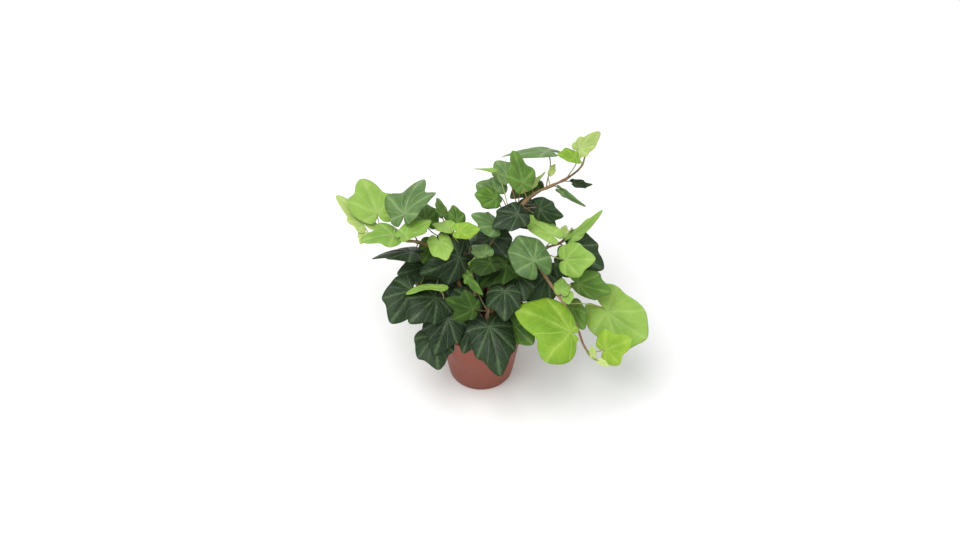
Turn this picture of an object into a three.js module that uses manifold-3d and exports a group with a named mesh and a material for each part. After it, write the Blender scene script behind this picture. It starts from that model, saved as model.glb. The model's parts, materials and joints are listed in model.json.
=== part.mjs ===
// A young ivy in a round plastic nursery pot.
// Millimetres, +Z up. The origin is the middle of the pot's underside, and -Y is the plant's front.
import * as THREE from 'three';
import { mergeVertices } from 'three/addons/utils/BufferGeometryUtils.js';
import Module from 'manifold-3d';

const wasm = await Module();
wasm.setup();

// ---- pot ----
const RIM_DIAMETER = 105;
const POT_HEIGHT = 92;
const BASE_DIAMETER = 76;
const WALL = 1.4;
const BASE_THICKNESS = 1.6;
const BAND_HEIGHT = 13; // the thicker band below the rim
const BAND_STANDS_OUT = 1.6;
const DRAIN_HOLES = 8;
const DRAIN_HOLE_DIAMETER = 7;
const DRAIN_CIRCLE_DIAMETER = 50;

// ---- soil ----
const SOIL_BELOW_RIM = 12;
const SOIL_CROWN = 3; // the middle stands this much above the edge
const ROOT_DEPTH = 22; // how deep each vine stands in the soil

// ---- vines and leaves ----
const GROWN_FOR_RIM = 105; // the places and leaf sizes below are those of a plant in a pot this wide
const VINE_ROOT_DIAMETER = 4.4;
const VINE_TIP_DIAMETER = 2;
const PETIOLE_DIAMETER = 1.8;
const BLADE_THICKNESS = 0.8;
const NOTCH_REACH = 0.4; // how far back the two lobes at a blade's base reach, as a share of its length
const CLEARANCE = 0.3; // between pieces that touch in a real plant
const STALK_GAP = 0.4; // between a stalk's end and its vine

// ---- fineness ----
const POT_SIDES = 40;
const HOLE_SIDES = 10;
const VINE_SIDES = 7;
const VINE_STEP = 13; // length of one straight piece of a vine
const OUTLINE_STEP = 12; // degrees between the corners of a blade's outline
const PETIOLE_SIDES = 5;
const PETIOLE_STEPS = 5;
const SHORTEST_EDGE = 0.02; // shorter ones, left where a stalk joins its blade, are closed up

const growth = RIM_DIAMETER / GROWN_FOR_RIM;
const rimRadius = RIM_DIAMETER / 2;
const baseRadius = BASE_DIAMETER / 2;
const soilTop = POT_HEIGHT - SOIL_BELOW_RIM + SOIL_CROWN;

// Each kind of leaf blade has a lobe at its tip and pairs of side lobes. A lobe is its direction from
// the tip in degrees, its length as a share of the blade's, and how slender it is. lean turns all the
// side lobes one way, and point makes the longest lobes end more sharply. droop bends the tip down,
// and fold lifts the two sides, both as shares of the length.
const BLADES = {
  broad: {
    lobes: [[0, 1, 2.8], [48, 0.8, 2.4], [90, 0.66, 2.2], [128, 0.46, 2.2]],
    lean: 0, point: 0.05, droop: 0.14, fold: -0.06,
  },
  young: {
    lobes: [[0, 1, 2.2], [50, 0.82, 2.2], [92, 0.62, 2.2], [126, 0.36, 2]],
    lean: 0, point: 0.03, droop: 0.1, fold: 0.07,
  },
  wide: {
    lobes: [[0, 1, 2], [68, 0.8, 2], [112, 0.46, 2]],
    lean: 0, point: 0.03, droop: 0.1, fold: 0.05,
  },
  leaning: {
    lobes: [[0, 1, 1.5], [61, 0.86, 2.4], [120, 0.22, 1.6]],
    lean: -16, point: 0.04, droop: 0.08, fold: -0.12,
  },
  round: {
    lobes: [[0, 1, 2], [48, 0.95, 2], [96, 0.84, 2], [138, 0.66, 2.2]],
    lean: 0, point: 0.01, droop: 0.12, fold: -0.04,
  },
  narrow: {
    lobes: [[0, 1, 9], [22, 0.6, 6], [62, 0.42, 2.4], [124, 0.36, 2]],
    lean: 0, point: 0.08, droop: 0.08, fold: 0.16,
  },
  three_lobed: {
    lobes: [[0, 1, 3.6], [54, 0.84, 3.4], [100, 0.46, 2], [140, 0.32, 2.4]],
    lean: 0, point: 0.06, droop: 0.08, fold: 0.06,
  },
};
const POINTED_LOBES = 3; // the tip's and the first pair
const POINT_SPREAD = 8; // degrees to either side of a lobe's end that its point takes up
const LOBE_MERGE = 5; // higher ones leave sharper corners between the lobes
const NOTCH_SPREAD = 12; // degrees to either side of the notch at the blade's base
const NOTCH_DEPTH = 0.82;

// Each vine starts in the soil at `root`, an x and a y, and runs on through `points`, whose z is the
// height above the rim. A leaf is its name, the place of its base, the length and width of its blade,
// its heading, pitch and roll in degrees, and its kind of blade. Heading turns from +X towards +Y,
// pitch lifts the tip, and roll tips the upper face towards the leaf's right side.
const VINES = [
  {
    name: 'left_vine',
    root: [-16, 8],
    points: [[-26, 18, 36], [-46, 36, 64], [-68, 40, 76], [-98, 42, 80], [-122, 46, 83], [-138, 47, 85]],
    leaves: [
      ['left_leaf_1', [-133, 59, 88], [50, 35], [129, 15, 14], 'narrow'],
      ['left_leaf_2', [-118, 70, 94], [52, 59], [110, 23, 8], 'wide'],
      ['left_leaf_3', [-84, 44, 116], [54, 64], [79, 19, -30], 'three_lobed'],
      ['left_leaf_4', [-94, 30, 98], [36, 52], [-164, 10, 12], 'wide'],
      ['left_leaf_5', [-46, 28, 89], [25, 27], [-72, -3, 4], 'round'],
      ['left_leaf_6', [-78, 23, 78], [43, 52], [179, 5, 25], 'broad'],
    ],
  },
  {
    name: 'crown_vine',
    root: [-3, 6],
    points: [[-8, 16, 26], [-14, 30, 54], [-26, 44, 74], [-40, 54, 86]],
    leaves: [
      ['crown_leaf_1', [-62, 64, 86], [30, 32], [98, 14, 6], 'broad'],
      ['crown_leaf_2', [-43, 66, 94], [26, 20], [100, 14, 40], 'narrow'],
      ['crown_leaf_3', [-25, 26, 108], [24, 22], [4, 2, 20], 'young'],
      ['crown_leaf_4', [16, 46, 96], [29, 42], [160, 34, 14], 'broad'],
      ['crown_leaf_5', [10, 52, 72], [37, 41], [-51, -14, 26], 'broad'],
      ['crown_leaf_6', [-22, 26, 68], [45, 46], [-144, -4, -55], 'broad'],
    ],
  },
  {
    name: 'low_left_vine',
    root: [-18, -12],
    points: [[-34, -14, 16], [-50, -8, 30], [-68, 4, 40], [-82, 16, 44]],
    leaves: [
      ['low_left_leaf_1', [-60, 37, 44], [37, 42], [-150, 2, -62], 'broad'],
      ['low_left_leaf_2', [-77, -5, 46], [44, 50], [-120, -14, -24], 'broad'],
      ['low_left_leaf_3', [-50, -12, 42], [42, 48], [-129, -2, -22], 'broad'],
      ['low_left_leaf_4', [-37, -28, 26], [43, 49], [-113, -31, -12], 'broad'],
      ['low_left_leaf_5', [-52, -38, 6], [38, 45], [-81, -18, 4], 'broad'],
    ],
  },
  {
    name: 'front_vine',
    root: [4, -14],
    points: [[6, -22, 16], [8, -25, 34], [12, -22, 52]],
    leaves: [
      ['front_leaf_1', [-9, -41, 55], [31, 35], [179, 26, -52], 'three_lobed'],
      ['front_leaf_2', [26, -20, 61], [36, 42], [-91, -4, 1], 'broad'],
      ['front_leaf_4', [-15, -2, 66], [27, 16], [-63, -13, 60], 'narrow'],
      ['front_leaf_3', [9, -43, 28], [54, 50], [-75, -14, -1], 'broad'],
    ],
  },
  {
    name: 'right_vine',
    root: [20, -4],
    points: [
      [36, 12, 34], [50, 26, 55], [62, 22, 59], [75, 6, 50], [87, -11, 42],
      [98, -27, 33], [107, -45, 25], [113, -60, 16], [122, -70, 8], [130, -74, 5],
    ],
    leaves: [
      ['right_leaf_1', [58, 6, 81], [35, 43], [122, 26, -4], 'round'],
      ['right_leaf_2', [27, 13, 68], [36, 46], [-146, 4, 5], 'broad'],
      ['right_leaf_3', [97, -60, 41], [66, 70], [160, 17, -1], 'leaning'],
      ['right_leaf_4', [143, -10, 16], [54, 66], [-50, 2, 55], 'round'],
      ['right_leaf_5', [138, -56, 4], [34, 42], [-8, 40, 44], 'wide'],
      ['right_leaf_6', [36, -31, 17], [32, 37], [-49, -7, 37], 'broad'],
    ],
  },
  {
    name: 'middle_right_vine',
    root: [14, 12],
    points: [[30, 24, 30], [52, 36, 54], [74, 44, 64], [92, 50, 68], [104, 64, 76]],
    leaves: [
      ['middle_right_leaf_1', [79, 44, 85], [44, 25], [142, 12, -14], 'young'],
      ['middle_right_leaf_2', [104, 48, 78], [44, 15], [26, 30, 60], 'narrow'],
      ['middle_right_leaf_3', [93, 8, 81], [37, 40], [-33, 31, 55], 'young'],
      ['middle_right_leaf_4', [102, 54, 54], [45, 51], [-45, 0, 42], 'broad'],
    ],
  },
  {
    name: 'low_right_vine',
    root: [24, 8],
    points: [[50, 12, 16], [78, 10, 28], [98, 10, 32], [112, 22, 34]],
    leaves: [
      ['low_right_leaf_1', [109, 3, 49], [38, 40], [-33, 7, 80], 'broad'],
      ['low_right_leaf_3', [75, 22, 45], [38, 44], [-128, -10, -15], 'broad'],
      ['low_right_leaf_2', [104, 2, 10], [30, 28], [-65, -14, 30], 'young'],
    ],
  },
  {
    name: 'back_right_vine',
    root: [8, 20],
    points: [
      [14, 40, 36], [28, 58, 70], [43, 77, 94], [60, 92, 103],
      [80, 102, 106], [102, 114, 110], [116, 126, 116], [121, 138, 126],
    ],
    leaves: [
      ['back_right_leaf_1', [31, 110, 113], [28, 28], [122, 17, -12], 'young'],
      ['back_right_leaf_2', [18, 103, 94], [31, 33], [145, 2, -32], 'broad'],
      ['back_right_leaf_3', [16, 76, 110], [25, 29], [-171, 26, -22], 'young'],
      ['back_right_leaf_4', [46, 77, 133], [37, 44], [110, 50, 28], 'wide'],
      ['back_right_leaf_5', [74, 131, 133], [54, 56], [160, -8, 27], 'broad'],
      ['back_right_leaf_6', [106, 110, 142], [22, 23], [-171, 23, -5], 'young'],
      ['back_right_leaf_7', [112, 132, 136], [38, 25], [40, 6, 58], 'narrow'],
      ['back_right_leaf_8', [92, 96, 104], [35, 10], [-46, -3, 70], 'narrow'],
      ['back_right_leaf_9', [66, 87, 76], [45, 42], [-169, 20, -12], 'broad'],
    ],
  },
  {
    name: 'rear_vine',
    root: [-4, 24],
    points: [[-10, 56, 18], [-16, 84, 22], [-20, 108, 10], [-22, 124, -6]],
    leaves: [
      ['rear_leaf_1', [-42, 76, 36], [44, 50], [142, -12, 0], 'broad'],
      ['rear_leaf_2', [14, 84, 34], [46, 52], [62, -18, 0], 'broad'],
      ['rear_leaf_3', [-40, 100, 18], [42, 48], [118, -34, 0], 'broad'],
      ['rear_leaf_4', [-8, 125, 7], [40, 45], [84, -44, 0], 'young'],
      ['rear_leaf_5', [-40, 44, 26], [42, 48], [168, -22, 0], 'broad'],
      ['rear_leaf_6', [24, 54, 24], [42, 48], [28, -20, 0], 'broad'],
    ],
  },
];

// ---- solids ----
function toManifold(geometry) {
  const bare = geometry.clone();
  bare.deleteAttribute('normal');
  bare.deleteAttribute('uv');
  const merged = mergeVertices(bare, 1e-4);
  return new wasm.Manifold(new wasm.Mesh({
    numProp: 3,
    vertProperties: new Float32Array(merged.attributes.position.array),
    triVerts: new Uint32Array(merged.index.array),
  }));
}

function toGeometry(manifold) {
  const mesh = manifold.getMesh();
  const geometry = new THREE.BufferGeometry();
  geometry.setAttribute('position', new THREE.BufferAttribute(mesh.vertProperties, 3));
  geometry.setIndex(new THREE.BufferAttribute(mesh.triVerts, 1));
  return geometry;
}

function circle(radius, sides) {
  const corners = [];
  for (let i = 0; i < sides; i += 1) {
    const angle = (2 * Math.PI * i) / sides;
    corners.push(new THREE.Vector2(radius * Math.cos(angle), radius * Math.sin(angle)));
  }
  return new THREE.Shape(corners);
}

function turned(profile, sides) {
  const points = profile.map(([radius, height]) => new THREE.Vector2(radius, height));
  return new THREE.LatheGeometry(points, sides).rotateX(Math.PI / 2);
}

function uprightCylinder(radius, fromZ, toZ, x, y, sides) {
  return new THREE.CylinderGeometry(radius, radius, toZ - fromZ, sides)
    .rotateX(Math.PI / 2)
    .translate(x, y, (fromZ + toZ) / 2);
}

// ---- pot ----
const wallSlope = (rimRadius - BAND_STANDS_OUT - baseRadius) / POT_HEIGHT;
const outsideAt = (z) => baseRadius + wallSlope * z;

function makePot() {
  const bandBottom = POT_HEIGHT - BAND_HEIGHT;
  const shell = turned([
    [0, 0],
    [baseRadius - 1, 0],
    [outsideAt(1), 1],
    [outsideAt(bandBottom), bandBottom],
    [outsideAt(bandBottom) + BAND_STANDS_OUT, bandBottom + 1],
    [rimRadius, POT_HEIGHT - 1],
    [rimRadius - 0.6, POT_HEIGHT],
    [outsideAt(POT_HEIGHT) - WALL + 0.4, POT_HEIGHT],
    [outsideAt(POT_HEIGHT) - WALL, POT_HEIGHT - 1],
    [outsideAt(BASE_THICKNESS) - WALL, BASE_THICKNESS],
    [0, BASE_THICKNESS],
  ], POT_SIDES);
  let pot = toManifold(shell);
  for (let i = 0; i < DRAIN_HOLES; i += 1) {
    const angle = (2 * Math.PI * (i + 0.5)) / DRAIN_HOLES;
    const x = (DRAIN_CIRCLE_DIAMETER / 2) * Math.cos(angle);
    const y = (DRAIN_CIRCLE_DIAMETER / 2) * Math.sin(angle);
    const hole = uprightCylinder(DRAIN_HOLE_DIAMETER / 2, -1, BASE_THICKNESS + 1, x, y, HOLE_SIDES);
    pot = pot.subtract(toManifold(hole));
  }
  return toGeometry(pot.simplify(SHORTEST_EDGE));
}

// ---- soil ----
function makeSoil() {
  const bottom = BASE_THICKNESS + CLEARANCE;
  const edge = POT_HEIGHT - SOIL_BELOW_RIM;
  const insideAt = (z) => outsideAt(z) - WALL - CLEARANCE;
  let soil = toManifold(turned([
    [0, bottom],
    [insideAt(bottom), bottom],
    [insideAt(edge), edge],
    [insideAt(edge) * 0.6, edge + SOIL_CROWN * 0.7],
    [0, soilTop],
  ], POT_SIDES));
  for (const vine of VINES) {
    const path = vinePath(vine);
    const bottomOfSocket = soilTop - ROOT_DEPTH - CLEARANCE;
    const radius = VINE_ROOT_DIAMETER / 2 + CLEARANCE;
    const { x, y } = path.points[0];
    const foot = uprightCylinder(radius, bottomOfSocket, soilTop - ROOT_DEPTH / 2, x, y, HOLE_SIDES);
    soil = soil.subtract(toManifold(foot)).subtract(vineSolid(path, CLEARANCE));
  }
  return toGeometry(soil.simplify(SHORTEST_EDGE));
}

// ---- vines ----
function inPlant([x, y, z]) {
  return new THREE.Vector3(x * growth, y * growth, POT_HEIGHT + z * growth);
}

function vinePath(vine) {
  const [x, y] = vine.root.map((value) => value * growth);
  return new THREE.CatmullRomCurve3([
    new THREE.Vector3(x, y, soilTop - ROOT_DEPTH),
    new THREE.Vector3(x, y, soilTop - ROOT_DEPTH / 2),
    new THREE.Vector3(x, y, soilTop + 2),
    ...vine.points.map(inPlant),
  ], false, 'centripetal');
}

const vineRadiusAt = (share) => THREE.MathUtils.lerp(VINE_ROOT_DIAMETER, VINE_TIP_DIAMETER, share) / 2;

// A vine that tapers from its root to its tip, thickened all round by `extra`.
function vineSolid(path, extra) {
  const steps = Math.ceil(path.getLength() / (VINE_STEP * growth));
  const tube = new THREE.ExtrudeGeometry(circle(1, VINE_SIDES), { steps, extrudePath: path });
  const stations = path.getSpacedPoints(steps);
  const position = tube.attributes.position;
  const corner = new THREE.Vector3();
  for (let i = 0; i < position.count; i += 1) {
    corner.fromBufferAttribute(position, i);
    const distances = stations.map((station) => station.distanceTo(corner));
    const nearest = distances.indexOf(Math.min(...distances));
    const centre = stations[nearest];
    corner.sub(centre).multiplyScalar(vineRadiusAt(nearest / steps) + extra).add(centre);
    position.setXYZ(i, corner.x, corner.y, corner.z);
  }
  return toManifold(tube);
}

// ---- leaves ----
// The directions of a blade: along to its tip, across to its right side, and out of its upper face.
function bladeDirections([heading, pitch, roll]) {
  const turn = new THREE.Matrix4()
    .makeRotationZ(THREE.MathUtils.degToRad(heading - 90))
    .multiply(new THREE.Matrix4().makeRotationX(THREE.MathUtils.degToRad(pitch)))
    .multiply(new THREE.Matrix4().makeRotationY(THREE.MathUtils.degToRad(roll)));
  const across = new THREE.Vector3();
  const along = new THREE.Vector3();
  const out = new THREE.Vector3();
  turn.extractBasis(across, along, out);
  return { across, along, out };
}

const hump = (degrees, spread) => Math.exp(-((degrees / spread) ** 2));

// The lobe at the tip, then the two of each pair, each its direction, length and slenderness.
function lobesOf(blade) {
  const lobes = [];
  for (const [turn, length, slender] of blade.lobes) {
    if (turn === 0) {
      lobes.push([0, length, slender]);
    } else {
      lobes.push([blade.lean + turn, length, slender]);
      lobes.push([blade.lean - turn, length, slender]);
    }
  }
  return lobes;
}

// How far a blade reaches from its base in one direction, as a share of its length.
function bladeReach(blade, direction) {
  let total = 0;
  lobesOf(blade).forEach(([turn, length, slender], number) => {
    const off = Math.abs(THREE.MathUtils.euclideanModulo(direction - turn + 180, 360) - 180);
    if (off >= 90) return;
    const point = number < POINTED_LOBES ? blade.point * hump(off, POINT_SPREAD) : 0;
    const end = (length * (1 + point)) / (1 + blade.point);
    total += (end * Math.cos(THREE.MathUtils.degToRad(off)) ** slender) ** LOBE_MERGE;
  });
  return total ** (1 / LOBE_MERGE) * (1 - NOTCH_DEPTH * hump(180 - direction, NOTCH_SPREAD));
}

function bladeOutline(blade, length, width) {
  const flat = [];
  for (let direction = 0; direction < 360; direction += OUTLINE_STEP) {
    const reach = bladeReach(blade, direction);
    const turn = THREE.MathUtils.degToRad(direction);
    flat.push([reach * Math.sin(turn), reach * Math.cos(turn)]);
  }
  const widest = Math.max(...flat.map(([x]) => x)) * 2;
  return flat.map(([x, y]) => {
    const lift = blade.fold * Math.abs(x) - blade.droop * y * y;
    return [(x * width) / widest, y * length, lift * length];
  });
}

// Two fans of triangles round the leaf's base, one above the other, closed by a strip at the edge.
function makeBlade(base, length, width, directions, blade) {
  const { across, along, out } = directions;
  const outline = bladeOutline(blade, length, width);
  const corners = [];
  for (const side of [0.5, -0.5]) {
    const middle = base.clone().addScaledVector(out, side * BLADE_THICKNESS);
    corners.push(middle);
    for (const [x, y, lift] of outline) {
      corners.push(middle.clone()
        .addScaledVector(across, x)
        .addScaledVector(along, y)
        .addScaledVector(out, lift));
    }
  }
  const count = outline.length;
  const under = count + 1;
  const faces = [];
  for (let i = 0; i < count; i += 1) {
    const here = 1 + i;
    const next = 1 + ((i + 1) % count);
    faces.push(0, next, here);
    faces.push(under, under + here, under + next);
    faces.push(here, next, under + next);
    faces.push(here, under + next, under + here);
  }
  const geometry = new THREE.BufferGeometry();
  const places = corners.flatMap((corner) => corner.toArray());
  geometry.setAttribute('position', new THREE.Float32BufferAttribute(places, 3));
  geometry.setIndex(faces);
  return geometry;
}

// The share of a vine's path that is nearest to a leaf's base, kept off the root and the very tip.
function nearestShare(path, base) {
  let best = 0;
  let bestDistance = Infinity;
  for (let share = 0.3; share <= 0.97; share += 0.01) {
    const distance = path.getPointAt(share).distanceTo(base);
    if (distance < bestDistance) {
      bestDistance = distance;
      best = share;
    }
  }
  return best;
}

// The stalk leaves the under face of the blade and ends square to the vine. Where the vine isn't below
// the blade, the stalk first runs back through the notch between the two lobes at the blade's base.
function makePetiole(base, length, directions, path) {
  const { along, out } = directions;
  const share = nearestShare(path, base);
  const joint = path.getPointAt(share);
  const reach = base.distanceTo(joint);
  const vineIsBelow = joint.clone().sub(base).dot(out) < -0.5 * reach;
  const drop = vineIsBelow ? Math.min(5 * growth, reach / 3) : BLADE_THICKNESS;
  const back = vineIsBelow ? drop / 2 : Math.min(length * NOTCH_REACH, reach * 0.7);
  const below = base.clone().addScaledVector(out, -drop).addScaledVector(along, -back);
  const vineRun = path.getTangentAt(share);
  const away = below.clone().sub(joint);
  away.addScaledVector(vineRun, -away.dot(vineRun)).normalize();
  const end = joint.clone().addScaledVector(away, vineRadiusAt(share) + STALK_GAP);
  const run = end.clone().addScaledVector(away, Math.min(4 * growth, below.distanceTo(end) / 3));
  const stalk = new THREE.CatmullRomCurve3([
    base.clone().addScaledVector(out, -BLADE_THICKNESS / 8),
    below,
    run,
    end,
  ], false, 'centripetal');
  const section = circle(PETIOLE_DIAMETER / 2, PETIOLE_SIDES);
  return new THREE.ExtrudeGeometry(section, { steps: PETIOLE_STEPS, extrudePath: stalk });
}

function makeLeaf([, place, size, turns, kind], path) {
  const base = inPlant(place);
  const [length, width] = size.map((value) => value * growth);
  const directions = bladeDirections(turns);
  const blade = toManifold(makeBlade(base, length, width, directions, BLADES[kind]));
  const petiole = toManifold(makePetiole(base, length, directions, path));
  return toGeometry(blade.add(petiole).simplify(SHORTEST_EDGE));
}

// ---- assembly ----
const terracottaPlastic = new THREE.MeshStandardMaterial({ color: '#a5604f', roughness: 0.55 });
const pottingSoil = new THREE.MeshStandardMaterial({ color: '#33261c', roughness: 1 });
const youngBark = new THREE.MeshStandardMaterial({ color: '#8a6a48', roughness: 0.8 });
const LEAF_COLOURS = {
  broad: '#42663f', young: '#8fc04f', wide: '#8fc04f', leaning: '#86b02f',
  round: '#5f8a45', narrow: '#a3c266', three_lobed: '#4f7a2c',
};

const plant = new THREE.Group();

function addPiece(name, geometry, material) {
  const mesh = new THREE.Mesh(geometry, material);
  mesh.name = name;
  plant.add(mesh);
}

addPiece('pot', makePot(), terracottaPlastic);
addPiece('soil', makeSoil(), pottingSoil);
for (const vine of VINES) {
  const path = vinePath(vine);
  addPiece(vine.name, toGeometry(vineSolid(path, 0)), youngBark);
  for (const leaf of vine.leaves) {
    const [name, , , , kind] = leaf;
    const leafSkin = new THREE.MeshStandardMaterial({ color: LEAF_COLOURS[kind], roughness: 0.5 });
    addPiece(name, makeLeaf(leaf, path), leafSkin);
  }
}

export default plant;
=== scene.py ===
import json
import math
import random

import bmesh
import bpy
from mathutils import Matrix, Vector, noise
from mathutils.kdtree import KDTree


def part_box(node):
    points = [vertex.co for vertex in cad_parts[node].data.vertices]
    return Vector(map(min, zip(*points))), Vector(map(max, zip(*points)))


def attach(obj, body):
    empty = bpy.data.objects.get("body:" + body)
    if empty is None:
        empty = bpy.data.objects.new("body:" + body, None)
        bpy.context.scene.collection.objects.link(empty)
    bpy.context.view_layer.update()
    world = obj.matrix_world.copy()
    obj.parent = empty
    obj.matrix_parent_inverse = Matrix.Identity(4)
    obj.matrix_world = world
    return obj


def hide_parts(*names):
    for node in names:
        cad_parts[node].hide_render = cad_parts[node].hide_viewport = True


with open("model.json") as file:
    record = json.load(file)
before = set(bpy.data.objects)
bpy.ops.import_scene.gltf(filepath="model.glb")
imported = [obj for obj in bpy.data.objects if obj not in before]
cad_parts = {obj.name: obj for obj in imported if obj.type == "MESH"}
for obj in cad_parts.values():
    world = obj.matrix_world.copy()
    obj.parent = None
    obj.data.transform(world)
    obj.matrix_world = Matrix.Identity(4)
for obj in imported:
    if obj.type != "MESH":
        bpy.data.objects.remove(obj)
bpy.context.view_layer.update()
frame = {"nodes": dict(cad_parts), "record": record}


# ---------------------------------------------------------------- camera
# The camera stands in front of the plant, a little over a metre away, and looks steeply down on it
# through a normal lens.
look_down = math.radians(46)
lens_length = 40.3
camera = bpy.data.objects.new("camera", bpy.data.cameras.new("camera"))
camera.location = (-0.0012, -0.8204, 1.0150)
camera.rotation_euler = (math.pi / 2 - look_down, 0, 0)
camera.data.lens = lens_length
bpy.context.scene.collection.objects.link(camera)
bpy.context.scene.camera = camera


# ---------------------------------------------------------------- pot
# A round nursery pot, one thin moulding of terracotta-coloured plastic. Its wall tapers to a flat
# base with a ring of drain holes, and a thicker band below the rim makes it stiff enough to lift.
MM = 0.001
pot_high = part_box("pot")[1]
pot_height = pot_high.z
pot_sides = 128
rim_radius = pot_high.x
base_radius = 38 * MM
base_middle = 3 * MM
base_thickness = 1.6 * MM
base_rounding = 1.2 * MM
wall = 1.4 * MM
foot_height = 7 * MM
foot_set_back = 0.35 * MM
band_height = 13 * MM
band_stands_out = 1.6 * MM
drain_holes = 8
drain_circle = 25 * MM
drain_hole_radius = 3.5 * MM
edge_rounding = 0.3 * MM


def put_down_tools():
    """Leaves edit mode, if it is on, and deselects everything."""
    if bpy.context.mode != "OBJECT":
        bpy.ops.object.mode_set(mode="OBJECT")
    bpy.ops.object.select_all(action="DESELECT")


def take(piece):
    """Makes one piece the only selected and active one."""
    put_down_tools()
    piece.select_set(True)
    bpy.context.view_layer.objects.active = piece


def apply_modifier(piece, kind, **settings):
    """Gives a piece one modifier and makes its result part of the mesh."""
    take(piece)
    modifier = piece.modifiers.new(kind.lower(), kind)
    for name, value in settings.items():
        setattr(modifier, name, value)
    bpy.ops.object.modifier_apply(modifier=modifier.name)


def turn_profile(name, profile, sides):
    """Turns an outline of (radius, height) points round the pot's middle line and closes both ends."""
    put_down_tools()
    radius, height = profile[0]
    bpy.ops.mesh.primitive_circle_add(
        vertices=sides, radius=radius, location=(0, 0, height), fill_type="TRIFAN")
    piece = bpy.context.object
    piece.name = name
    bpy.ops.object.transform_apply(location=True)
    bpy.ops.object.mode_set(mode="EDIT")
    bpy.ops.mesh.select_mode(type="EDGE")
    bpy.ops.mesh.select_all(action="DESELECT")
    bpy.ops.mesh.select_non_manifold()
    for next_radius, next_height in profile[1:]:
        bpy.ops.mesh.extrude_edges_move(
            TRANSFORM_OT_translate={"value": (0, 0, next_height - height)})
        grow = next_radius / radius
        bpy.ops.transform.resize(value=(grow, grow, 1), center_override=(0, 0, 0))
        radius, height = next_radius, next_height
    bpy.ops.mesh.extrude_edges_move(TRANSFORM_OT_translate={"value": (0, 0, 0)})
    bpy.ops.mesh.merge(type="CENTER")
    bpy.ops.mesh.select_all(action="SELECT")
    bpy.ops.mesh.normals_make_consistent(inside=False)
    bpy.ops.object.mode_set(mode="OBJECT")
    return piece


def wall_radius(height):
    """Outside radius of the tapered wall, leaving out the band."""
    top = rim_radius - band_stands_out
    return base_radius + (top - base_radius) * height / pot_height


band_bottom = pot_height - band_height
pot = turn_profile("nursery_pot", [
    (base_middle, 0),
    (base_radius - base_rounding, 0),
    (wall_radius(base_rounding), base_rounding),
    (wall_radius(foot_height), foot_height),
    (wall_radius(foot_height) + foot_set_back, foot_height + 0.5 * MM),
    (wall_radius(band_bottom) + 0.1 * MM, band_bottom),
    (wall_radius(band_bottom) + band_stands_out, band_bottom + 0.9 * MM),
    (rim_radius - 0.5 * MM, pot_height - 3.2 * MM),
    (rim_radius, pot_height - 2.6 * MM),
    (rim_radius, pot_height - 0.7 * MM),
    (rim_radius - 0.6 * MM, pot_height),
    (wall_radius(pot_height) - wall + 0.5 * MM, pot_height),
    (wall_radius(pot_height) - wall, pot_height - 0.8 * MM),
    (wall_radius(base_thickness) - wall, base_thickness),
    (base_middle, base_thickness),
], pot_sides)
for hole in range(drain_holes):
    angle = 2 * math.pi * (hole + 0.5) / drain_holes
    put_down_tools()
    bpy.ops.mesh.primitive_cylinder_add(
        vertices=40, radius=drain_hole_radius, depth=10 * MM,
        location=(drain_circle * math.cos(angle), drain_circle * math.sin(angle), 0))
    punch = bpy.context.object
    apply_modifier(pot, "BOOLEAN", operation="DIFFERENCE", object=punch, solver="EXACT")
    bpy.data.objects.remove(punch)
apply_modifier(
    pot, "BEVEL", width=edge_rounding, segments=3,
    limit_method="ANGLE", angle_limit=math.radians(35))
take(pot)
bpy.ops.object.shade_smooth_by_angle(angle=math.radians(40))


class Finish:
    """A material and a short way of adding and joining its nodes."""

    def __init__(self, name):
        self.material = bpy.data.materials.new(name)
        self.material.use_nodes = True
        self.tree = self.material.node_tree
        self.skin = self.tree.nodes["Principled BSDF"]

    def node(self, kind, links=None, **settings):
        """Adds a node, with a value or another node's socket for each input that links names."""
        made = self.tree.nodes.new("ShaderNode" + kind)
        for name, value in settings.items():
            setattr(made, name, value)
        for socket, source in (links or {}).items():
            self.feed(made.inputs[socket], source)
        return made

    def feed(self, socket, source):
        if isinstance(source, bpy.types.NodeSocket):
            self.tree.links.new(source, socket)
        else:
            socket.default_value = source

    def math(self, operation, first, second=0.0, third=0.0):
        made = self.node("Math", {0: first, 1: second, 2: third}, operation=operation)
        return made.outputs[0]

    def fade(self, value, start, end, low=0.0, high=1.0):
        """Runs smoothly from low, where the value is at start, to high, where it is at end."""
        made = self.node(
            "MapRange", {0: value, 1: start, 2: end, 3: low, 4: high},
            interpolation_type="SMOOTHSTEP")
        return made.outputs[0]

    def blend(self, share, first, second):
        """The first colour where share is 0, and the second where it is 1."""
        made = self.node("Mix", data_type="RGBA")
        self.feed(made.inputs[0], share)
        self.feed(made.inputs[6], first)
        self.feed(made.inputs[7], second)
        return made.outputs[2]

    def noise(self, place, scale, detail=4.0, roughness=0.55):
        made = self.node(
            "TexNoise",
            {"Vector": place, "Scale": scale, "Detail": detail, "Roughness": roughness})
        return made.outputs["Fac"]

    def here(self, stretch=(1, 1, 1)):
        """Where a point is on its piece, in metres, stretched along each direction."""
        place = self.node("TexCoord").outputs["Object"]
        return self.node("Mapping", {"Vector": place, "Scale": stretch}).outputs[0]

    def relief(self, height, strength, depth):
        """Lets light fall on the surface as if it were raised where height is large."""
        made = self.node("Bump", {"Height": height, "Strength": strength, "Distance": depth})
        self.tree.links.new(made.outputs[0], self.skin.inputs["Normal"])


def colour(red, green, blue):
    """A colour given as it looks, from 0 to 255, in the linear values that a shader takes."""
    def linear(value):
        value /= 255
        return value / 12.92 if value <= 0.04045 else ((value + 0.055) / 1.055) ** 2.4
    return (linear(red), linear(green), linear(blue), 1)


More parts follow.
